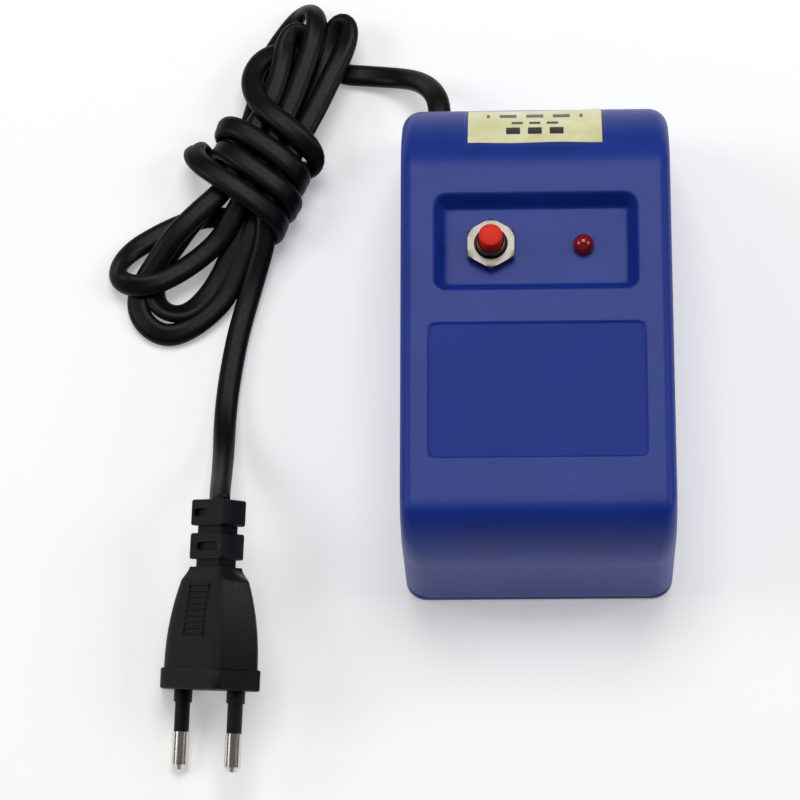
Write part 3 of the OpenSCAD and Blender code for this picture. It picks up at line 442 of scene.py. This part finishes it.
def smooth_along(v, sigma):
    """Gaussian average along a line, with its ends held."""
    reach = int(3 * sigma)
    weight = np.exp(-0.5 * (np.arange(-reach, reach + 1) / sigma) ** 2)
    padded = np.pad(v, ((reach, reach), (0, 0)), mode="edge")
    return np.stack([np.convolve(padded[:, k], weight / weight.sum(), "valid") for k in range(3)], 1)


def flat_lead():
    """The section carried along the route. Its width lies level, turns slowly, and meets the plug's own."""
    points = (lead_route + wrap_1 + wrap_2 + wrap_3 + wrap_4 + lower_loop_a + upper_loop_1 + lower_loop_b
              + upper_loop_3 + lower_loop_c + upper_loop_2 + tail)
    line = catmull(points, 12)
    far = np.concatenate([[0], np.cumsum(np.linalg.norm(np.diff(line, axis=0), axis=1))])
    at = np.linspace(0, far[-1], int(far[-1] / SECTION_STEP))
    line = np.stack([np.interp(at, far, line[:, k]) for k in range(3)], 1)
    keep = np.clip(np.minimum(at, at[-1] - at) / 12, 0, 1)[:, None]
    line = line * (1 - keep) + smooth_along(line, 2) * keep
    along = unit(np.gradient(line, axis=0))
    side = np.cross([0.0, 0.0, 1.0], along)
    before = side[0]
    for vector in side:
        vector *= 1 if vector @ before >= 0 else -1
        before = 0.8 * before + vector
    side = unit(smooth_along(side, 6))
    side = unit(side - (side * along).sum(1)[:, None] * along)
    # A flat lead bends over its flats, so it rolls on edge where a bend in plan is tight
    bend = np.gradient(along, axis=0) / (at[1] - at[0])
    tight = np.clip((np.linalg.norm(bend, axis=1) - EASY_BEND) / (HARD_BEND - EASY_BEND), 0, 1)
    axis = np.cross(along, bend)
    turn = np.arctan2((axis * np.cross(along, side)).sum(1), (axis * side).sum(1))
    turn = (turn + np.pi / 2) % np.pi - np.pi / 2
    roll = np.zeros(len(line))
    for stretch in np.split(np.arange(len(line)), np.flatnonzero(np.diff(tight > 0)) + 1):
        roll[stretch] = tight[stretch] * turn[stretch[np.argmax(tight[stretch])]]
    roll = smooth_along(np.repeat(roll[:, None], 3, 1), 5)[:, :1]
    side = side * np.cos(roll) + np.cross(along, side) * np.sin(roll)
    plug_side = plug_turn[:, 0] * np.sign(plug_turn[:, 0] @ side[-1])
    near = np.clip((at - at[-1] + PLUG_TURN[0]) / (PLUG_TURN[0] - PLUG_TURN[1]), 0, 1)[:, None]
    near = near * near * (3 - 2 * near)
    side = unit(side * (1 - near) + plug_side * near)
    side = unit(side - (side * along).sum(1)[:, None] * along)
    over = np.cross(along, side)
    section = lead_section()
    reach = section[:, 0] * side[:, 2:] + section[:, 1] * over[:, 2:]
    line[:, 2] += np.maximum(FLOOR_GAP - (line[:, 2] + reach.min(1)), 0)
    rings = [p + np.outer(section[:, 0], s) + np.outer(section[:, 1], o) for p, s, o in zip(line, side, over)]
    return line, loft(rings)


lead_line, lead_mesh = flat_lead()
lead = make_piece("mains_lead", *lead_mesh, lead_pvc, "root", "lead_pvc",
                  ("cord_lead", "cord_hank", "cord_tail"))


# ---------------------------------------------------------------- plug
# In the plug's own frame X runs across the pins, Y back from its face and Z out of its flats
PLUG_HALF_X, PLUG_HALF_Z, PLUG_FLAT = 17.4, 6.9, 10.0
BODY_START, BODY_END, NECK_START = 4.5, 25.0, 29.0
plug_angles = full_turn(96)


def placed(points):
    """From the plug's own frame to the box's."""
    return points @ plug_turn.T + np.array(plug_place.translation)


def across(y, radius):
    """An outline across the plug at a distance y behind its face."""
    x, z = radius * np.cos(plug_angles), radius * np.sin(plug_angles)
    return np.stack([x, np.full(len(plug_angles), y), z], 1)


def block_outline(wide, long, sharpness):
    """A rectangle whose corners are rounder the lower its sharpness is."""
    return outline_radius([(1, 0, wide / 2), (-1, 0, wide / 2), (0, 1, long / 2), (0, -1, long / 2)],
                          plug_angles, sharpness)


def taper(y):
    """Share of its full outline that the body keeps at y: it falls away on a curve towards the neck."""
    return 0.94 - 0.24 * ((y - BODY_START) / (BODY_END - BODY_START)) ** 2.2


def slab(y, length, outline, edge=0.35):
    """A stretch of the plug with one outline and soft edges."""
    rows = [(0, 1 - edge / 6), (edge * 0.35, 1 - edge / 22), (edge, 1), (length - edge, 1),
            (length - edge * 0.35, 1 - edge / 22), (length, 1 - edge / 6)]
    return loft([across(y + d, outline * k) for d, k in rows])


def relief_block(y, length, wide, thick, slot_x, slot_wide):
    """A block across the neck whose flats are pierced by a slot, as rings from its outside through the
    slot."""
    middle, half = y + length / 2, thick / 2
    outer, slot = block_outline(wide, length, 26), block_outline(slot_wide, 1.8, 5)
    rings = turned([(outer * 0.97, -half), (outer, 0.3 - half), (outer, half - 0.3), (outer * 0.97, half)],
                   (0, middle), plug_angles)
    rings += turned([(slot * 1.08, half), (slot, half - 0.15), (slot, 0.15 - half), (slot * 1.08, -half)],
                    (slot_x, middle), plug_angles)
    return tube(rings)


def grip_ribs():
    """Nine ribs between two long bars, standing 0.3 mm proud of the flat side, narrower at their tops."""
    bars = [(0, 13.0 + 1.45 * k, 6.2, 0.5) for k in range(9)]
    bars += [(x, 18.8, 0.45, 12.4) for x in (-3.3, 3.3)]
    corners = np.array([[-1, 1], [1, 1], [1, -1], [-1, -1]]) / 2
    ribs = []
    for x, y, wide, long in bars:
        rings = []
        for height, keep in ((0.3, 0.55), (0.12, 1.0), (-1.2, 1.0)):
            ring = (x, y) + corners * (np.array([wide, long]) - (1 - keep) * min(wide, long))
            surface = PLUG_HALF_Z * taper(ring[:, 1])
            rings.append(np.stack([ring[:, 0], ring[:, 1], surface + height], 1))
        ribs.append(loft(rings))
    return ribs


def plug_shape():
    """A six-sided flange, a body that narrows on a curve into a shoulder, a neck with two relief blocks,
    and the grip's ribs."""
    lean = unit(np.array([PLUG_HALF_Z, PLUG_HALF_X - PLUG_FLAT]))
    planes = [(0, 1, PLUG_HALF_Z), (0, -1, PLUG_HALF_Z)]
    planes += [(sx * lean[0], sz * lean[1], PLUG_HALF_X * lean[0]) for sx in (-1, 1) for sz in (-1, 1)]
    flange, body = (outline_radius(planes, plug_angles, sharpness) for sharpness in (60, 30))
    neck = block_outline(11.0, 7.4, 22)
    rows = [across(y, body * taper(y)) for y in np.linspace(BODY_START, BODY_END, 22)]
    for s in np.linspace(0.12, 1, 9):
        blend = s * s * (3 - 2 * s)
        rows.append(across(BODY_END + s * (NECK_START - BODY_END),
                           body * taper(BODY_END) * (1 - blend) + neck * blend))
    parts = [slab(0, 5, flange), loft(rows), slab(28.5, 15.6, block_outline(8.4, 5.5, 22)),
             relief_block(30.8, 6.2, 11.2, 7.3, 0.5, 7.2), relief_block(38.8, 6.2, 11.4, 7.3, -2.5, 4.4)]
    points, faces = join(parts + grip_ribs())
    return placed(points), faces


plug = make_piece("plug_moulding", *outward(*plug_shape()), plug_pvc, "root", "plug_pvc", ("plug_body",))
sharpen(plug, 38)

# ---------------------------------------------------------------- housing
HALF_W, FRONT, REAR, TOP, SEAM = 32.0, -60.0, 60.0, 45.0, 3.0
WALL = 2.2
FRONT_OUT, FRONT_LEAN = 8.8, 1.5    # how far an end comes out over its curve, and over its wall
REAR_OUT, REAR_LEAN = 21, 3.7
FRONT_CREASE, REAR_CREASE = FRONT + FRONT_LEAN + FRONT_OUT, REAR - REAR_LEAN - REAR_OUT
# Centre and half sizes of what is pressed into the top
RECESS = (0.0, 15.5, 24.0, 12.0)
REST = (0.0, -21.2, 25.5, 16.5)
LABEL = (0.0, 47.8, 17.0, 7.5)
RECESS_FLOOR = 41.0
BUTTON = (-10.6, 15.5)
LAMP = (11.2, 15.5)

# The rest panel is etched coarser than the moulding round it, so it spreads the light and looks darker
etch(shell_abs, (REST[0] - REST[2] + 0.2, REST[1] - REST[3] + 0.2, TOP - 1),
     (REST[0] + REST[2] - 0.2, REST[1] + REST[3] - 0.2, TOP + 1), 0.6)


def slope_field(out, down, lean, start_angle=20):
    """Constants of an end slope: an ellipse's quarter from start_angle, then a wall that leans out."""
    s0, c0 = math.sin(math.radians(start_angle)), math.cos(math.radians(start_angle))
    return out / (1 - s0), down / c0, s0, c0, out, down, lean


def end_distance(reach, drop, shape):
    """Roughly how far a point lies outside an end; reach is measured outward from its crease and drop
    from the top face."""
    a, b, s0, c0, out, down, lean = shape
    curve = (np.hypot(np.maximum(reach / a + s0, 0), np.maximum(c0 - drop / b, 0)) - 1) * a
    leaning = reach - out - lean * (drop - down) / (TOP - 1 - down)
    return np.where(drop < down, curve, leaning)


def round_max(values, r):
    """Intersection of several surfaces with a round edge of radius r."""
    worst = np.maximum.reduce(values)
    return np.minimum(-r, worst) + np.sqrt(sum(np.maximum(v + r, 0) ** 2 for v in values))


front_shape = slope_field(FRONT_OUT, 20, FRONT_LEAN)
rear_shape = slope_field(REAR_OUT, 22, REAR_LEAN)


def body_field(p):
    """Below zero inside the box: its two ends, its top and its sides, with a round that grows from the
    upper edge's 2.9 mm to the corners' 5 mm."""
    x, y, z = p[..., 0], p[..., 1], p[..., 2]
    drop = TOP - z
    front = end_distance(FRONT_CREASE - y, drop, front_shape)
    rear = end_distance(y - REAR_CREASE, drop, rear_shape)
    profile = round_max([front, rear, -drop], 0.7)
    share = np.clip(drop / 20, 0, 1)
    return round_max([profile, np.abs(x) - HALF_W], 2.9 + 2.1 * share * share * (3 - 2 * share))


def box_distance(x, y, place, corner):
    """Distance inside a rectangle with round corners, negative outside it."""
    qx = np.abs(x - place[0]) - place[2] + corner
    qy = np.abs(y - place[1]) - place[3] + corner
    return corner - np.hypot(np.maximum(qx, 0), np.maximum(qy, 0)) - np.minimum(np.maximum(qx, qy), 0)


def soft_step(d, width, fillet):
    """0 to 1 as d goes from 0 to width, with both ends of the ramp rounded over a fillet."""
    t = d / width
    k = fillet / width
    return (np.logaddexp(0, t / k * 4) - np.logaddexp(0, (t - 1) / k * 4)) * k / 4


def lines(low, high, step, edges):
    """Grid lines at most step apart, with extra ones at each edge (place, half width, fine step)."""
    marks = [np.linspace(low, high, int((high - low) / step) + 1)]
    for place, half, fine in edges:
        marks.append(np.arange(place - half, place + half + 1e-6, fine))
    every = np.unique(np.round(np.concatenate(marks), 3))
    every = every[(every >= low) & (every <= high)]
    keep = [every[0]]
    for v in every[1:]:
        if v - keep[-1] > 0.16:
            keep.append(v)
    keep[-1] = high
    return np.array(keep)


def reach_form(start, aim, far, halvings):
    """How far along aim the box's surface lies from each start inside it, by halving."""
    low, high = np.zeros(start.shape[:-1]), np.full(start.shape[:-1], float(far))
    for _ in range(halvings):
        mid = (low + high) / 2
        inside = body_field(start + aim * mid[..., None]) < 0
        low, high = np.where(inside, mid, low), np.where(inside, high, mid)
    return low


def press_in(points):
    """Presses the recess, the rest panel and the label's pocket into the upper side."""
    x, y = points[:, 0], points[:, 1]
    upper = points[:, 2] > 30
    sharp_corners = 0.3 + np.minimum(RECESS[2] - np.abs(x), RECESS[3] - np.abs(y - RECESS[1]))
    depth = (TOP - RECESS_FLOOR) * soft_step(np.minimum(box_distance(x, y, RECESS, 3.0), sharp_corners),
                                             2.4, 0.35)
    depth += 0.4 * soft_step(box_distance(x, y, REST, 2.0), 0.35, 0.12)
    points[:, 2] -= np.where(upper, depth, 0)
    pocket = 0.3 * soft_step(box_distance(x, y, LABEL, 1.0), 0.4, 0.15) * upper
    points[:, 1] -= pocket * np.clip((y - REAR_CREASE) / REAR_OUT, 0, 1)
    points[:, 2] -= pocket * 0.8


def housing_skin():
    """The moulded shell's outside. A grid over the top runs on down all four sides to the seam, and each
    of its points is shot from an inner box until it meets the box's form."""
    xs = lines(-HALF_W, HALF_W, 1.3, [(s * (RECESS[2] - 1), 1.7, 0.3) for s in (-1, 1)]
               + [(s * (HALF_W - 1.5), 1.5, 0.3) for s in (-1, 1)]
               + [(s * REST[2], 0.5, 0.2) for s in (-1, 1)] + [(s * LABEL[2], 0.5, 0.25) for s in (-1, 1)])
    ys = lines(FRONT, REAR, 1.2, [(RECESS[1] + s * (RECESS[3] - 1.1), 1.7, 0.3) for s in (-1, 1)]
               + [(REST[1] + s * (REST[3] - 0.2), 0.5, 0.2) for s in (-1, 1)]
               + [(FRONT_CREASE, 1.0, 0.25), (REAR_CREASE, 1.0, 0.3), (LABEL[1] - LABEL[3], 0.6, 0.25),
                  (REAR - 5.5, 1.5, 0.5), (FRONT + 1.5, 1.5, 0.5)])
    zs = np.concatenate([np.arange(TOP - 0.4, 38, -0.45), np.linspace(38, SEAM, 26)])
    gx, gy = np.meshgrid(xs, ys, indexing="ij")
    top = np.stack([gx, gy, np.full(gx.shape, TOP)], -1)
    rim, rim_index = rim_of(top), rim_of(np.arange(gx.size).reshape(gx.shape))
    sides = np.repeat(rim[None], len(zs), 0)
    sides[..., 2] = zs[:, None]
    cage = np.concatenate([top.reshape(-1, 3), sides.reshape(-1, 3)])
    inner = np.stack([np.clip(cage[:, 0], -25, 25), np.clip(cage[:, 1], FRONT + 13, REAR - 27),
                      np.minimum(cage[:, 2], 20)], 1)
    aim = cage - inner
    points = inner + aim * reach_form(inner, aim, 1.4, 30)[:, None]
    points[:, 2] = np.maximum(points[:, 2], SEAM)
    press_in(points)
    strip = np.concatenate([rim_index[None], gx.size + np.arange(len(zs) * len(rim)).reshape(len(zs), -1)])
    a, b = strip[:-1], strip[1:]
    quads = np.stack([a, np.roll(a, -1, 1), np.roll(b, -1, 1), b], -1).reshape(-1, 4)
    faces = [f[::-1] for f in grid_faces(len(xs), len(ys), close_columns=False)] + quads[:, ::-1].tolist()
    return points, faces


shell_points, shell_faces = housing_skin()
# The top faces point up when the first quad's normal does
first = shell_points[np.array(shell_faces[0])]
if np.cross(first[1] - first[0], first[2] - first[0])[2] < 0:
    shell_faces = [f[::-1] for f in shell_faces]
shell = make_piece("housing_skin", shell_points, shell_faces, shell_abs, "root", "shell_abs",
                   ("housing_shell",))
thick = shell.modifiers.new("wall", "SOLIDIFY")
thick.thickness = WALL * MM
thick.offset = -1
thick.use_rim = True


def top_height(x, y):
    """Height of the housing's outside above a point of its upper side."""
    start = np.stack([x, y, np.full(x.shape, 20.0)], -1)
    return 20 + reach_form(start, np.array([0, 0, 1]), 26, 28)


# ---------------------------------------------------------------- label
SHEET_HALF_W, SHEET_FRONT, SHEET_L = 16, 41.3, 13


def label_sheet():
    """A rectangle laid on the rear slope, 0.1 mm thick, that comes away a little at one far corner."""
    u, v = np.meshgrid(np.linspace(-1, 1, 60), np.linspace(0, 1, 40), indexing="ij")
    x, y = SHEET_HALF_W * u, SHEET_FRONT + SHEET_L * v + 0.12 * np.sin(5 * u)
    lift = 1.1 * np.clip((u - 0.2) / 0.8, 0, 1) ** 2 * np.clip((v - 0.35) / 0.65, 0, 1) ** 2
    z = top_height(x, y) - 0.22 + lift
    upper = np.stack([x, y, z], -1)
    lower = upper - np.array([0, 0.04, 0.11])
    rows, columns = u.shape
    count = rows * columns
    faces = grid_faces(rows, columns, close_columns=False)
    faces += [f[::-1] for f in grid_faces(rows, columns, close_columns=False, start=count)]
    index = np.arange(count).reshape(rows, columns)
    rim = rim_of(index)
    ahead = np.roll(rim, -1)
    faces += np.stack([ahead, rim, rim + count, ahead + count], 1).tolist()
    return np.concatenate([upper.reshape(-1, 3), lower.reshape(-1, 3)]), faces


label_low, label_high = node_box("label")
label = make_piece("label_sheet", *outward(*label_sheet()), printed_label(label_low, label_high), "root",
                   "label_paper", ("label",))
sharpen(label, 40)


# ---------------------------------------------------------------- push button and lamp
def nut(low):
    """A hexagon 11 mm across its flats with domed chamfers, and a bore for the bush."""
    angles = full_turn(144)
    flats = [(math.cos(math.radians(k)), math.sin(math.radians(k)), 5.5) for k in range(0, 360, 60)]
    hexagon = outline_radius(flats, angles, 90)
    rows = [(np.minimum(hexagon, limit), low + rise) for rise, limit in (
        (0, 5.7), (0.1, 5.95), (0.25, 6.2), (0.4, 6.5), (1.5, 6.5), (1.65, 6.3), (1.77, 6.14), (1.88, 5.98),
        (1.96, 5.84), (2, 5.7), (2, 4.0))]
    rows += [(3.6, low + 1.8), (3.55, low + 0.2), (4.0, low)]
    return tube(turned(rows, BUTTON, angles))


def bush(low, high):
    """A turned tube whose outside is a fine thread, 0.75 mm from turn to turn, below a plain rounded lip."""
    angles = full_turn(96)
    rows = []
    for z in np.arange(low, high - 0.7, 0.125):
        turn = (z / 0.75 - angles / (2 * np.pi)) % 1
        rows.append((3.42 - 0.16 * np.abs(2 * turn - 1), z))
    rows += [(3.36, high - 0.6), (3.4, high - 0.3), (3.3, high - 0.08), (3.15, high), (2.98, high - 0.08),
             (2.92, high - 0.3), (2.92, low)]
    return tube(turned(rows, BUTTON, angles))


def cap_profile(low, high):
    """The cap's stem in the switch, its flange, and a pin with a rounded rim and a gently domed end."""
    r = 2.8
    return np.vstack([[0.01, low], [0.9, low], [0.9, low + 1.6], [1.5, low + 1.6], [1.5, low + 6.3],
                      [3.6, low + 6.3], [3.6, low + 7.7], [r, low + 7.7], [r, high - 0.75],
                      arc(r - 0.55, high - 0.72, 0.55, 0, 78, 7),
                      [1.5, high - 0.08], [0.75, high - 0.02], [0.01, high]])


def lens_profile(low, high):
    """A flange below the recess floor, and a cylinder with a half round end."""
    return np.vstack([[0.01, low], [2.9, low], [2.9, low + 1], [2.5, low + 1.1],
                      arc(0, high - 2.5, 2.5, 0, 89.5, 16)])


nut_low = node_box("switch_nut")[0][2]
nut_piece = make_piece("hex_nut_chrome", *outward(*nut(nut_low)), switch_nickel, "root", "switch_chrome",
                       ("switch_nut",))
sharpen(nut_piece, 18)
bush_low, bush_high = (corner[2] for corner in node_box("switch_bushing"))
bush_piece = make_piece("threaded_bush", *outward(*bush(bush_low, bush_high)), switch_nickel, "root",
                        "switch_chrome", ("switch_bushing",))
sharpen(bush_piece, 50)
cap_low, cap_high = (corner[2] for corner in node_box("button_cap"))
cap = make_piece("push_cap", *outward(*lathe(cap_profile(cap_low, cap_high), BUTTON)), cap_red, "button",
                 "cap_red", ("button_cap",))
sharpen(cap, 50)
lens_low, lens_high = (corner[2] for corner in node_box("led_lamp"))
make_piece("lamp_lens", *outward(*lathe(lens_profile(lens_low, lens_high), LAMP)), tinted_lens(), "root",
           "lamp_epoxy", ("led_lamp",))

# ---------------------------------------------------------------- finishes of the CAD nodes
finishes = {
    base_abs: ["base_plate"], feet_rubber: ["rubber_feet"],
    zinc_steel: ["base_screws", "board_screws", "core_brackets", "core_bolts", "core_nuts", "bracket_screws",
                 "block_screw", "clamp_screws", "switch_washer"],
    phenolic: ["switch_case"],
    contact_brass: ["switch_terminals", "contact_disc", "terminal_barrels", "terminal_screws"],
    spring_steel: ["switch_spring"], tinned_wire: ["led_leads", "coil_tags"],
    board_fibreglass: ["led_board"], resistor_ceramic: ["led_resistor"], diode_epoxy: ["led_diode"],
    core_steel: ["core_laminations"], bobbin_nylon: ["coil_bobbin"], winding_copper: ["coil_winding"],
    coil_tape: ["coil_tape"], block_nylon: ["terminal_block", "cord_clamp"],
    grommet_rubber: ["cord_grommet"], lead_pvc: ["cord_inner"], insert_nylon: ["plug_insert"],
    pin_nickel: ["plug_pins"], plug_pvc: ["pin_sleeves"],
    wire_insulation("pvc_wire_brown", "#6d3f22", "#82502f"): ["mains_wires"],
    wire_insulation("pvc_wire_red", "#a82a28", "#bd3a34"): ["switch_wires"],
    wire_insulation("pvc_wire_blue", "#26489a", "#3458ac"): ["coil_wires"],
    wire_insulation("pvc_wire_white", "#cfcfcb", "#dfdfdc"): ["led_wires"],
}
for finish, names in finishes.items():
    for name in names:
        nodes[name].data.materials.clear()
        nodes[name].data.materials.append(finish)

# ---------------------------------------------------------------- floor and light
floor_mesh = bpy.data.meshes.new("floor")
floor_mesh.from_pydata([(-4, -4, 0), (4, -4, 0), (4, 4, 0), (-4, 4, 0)], [], [(0, 1, 2, 3)])
floor = bpy.data.objects.new("floor", floor_mesh)
bpy.context.scene.collection.objects.link(floor)
floor_paint, _, floor_shader, _ = start_material("matt_white_table", Roughness=0.9)
floor_shader.inputs["Base Color"].default_value = lin("#f7f7f7")
floor_shader.inputs["Emission Color"].default_value = lin("#ffffff")
floor_shader.inputs["Emission Strength"].default_value = 0.28
floor_mesh.materials.append(floor_paint)


def soft_light(name, place, aim, size, watts):
    """A square area light at a place, turned towards a point, both in metres."""
    lamp = bpy.data.lights.new(name, "AREA")
    lamp.shape, lamp.size, lamp.energy = "SQUARE", size, watts
    light = bpy.data.objects.new(name, lamp)
    light.location = place
    z = -unit(np.array(aim, float) - np.array(place, float))
    x = unit(np.cross([0.0, 1.0, 0.01], z))
    light.rotation_euler = Matrix(np.stack([x, np.cross(z, x), z], 1).tolist()).to_euler()
    bpy.context.scene.collection.objects.link(light)


soft_light("key_behind", (0, 0.62, 1.42), (0, 0, 0), 0.9, 11)
soft_light("fill_left", (-1.1, 0.1, 0.9), (0, 0, 0), 0.6, 4)
soft_light("fill_right", (1.1, 0.1, 0.9), (0, 0, 0), 0.6, 4)
world = bpy.data.worlds.new("pale_studio")
world.use_nodes = True
world.node_tree.nodes["Background"].inputs["Color"].default_value = lin("#ffffff")
world.node_tree.nodes["Background"].inputs["Strength"].default_value = 0.13
bpy.context.scene.world = world
bpy.context.scene.view_settings.view_transform = "Standard"
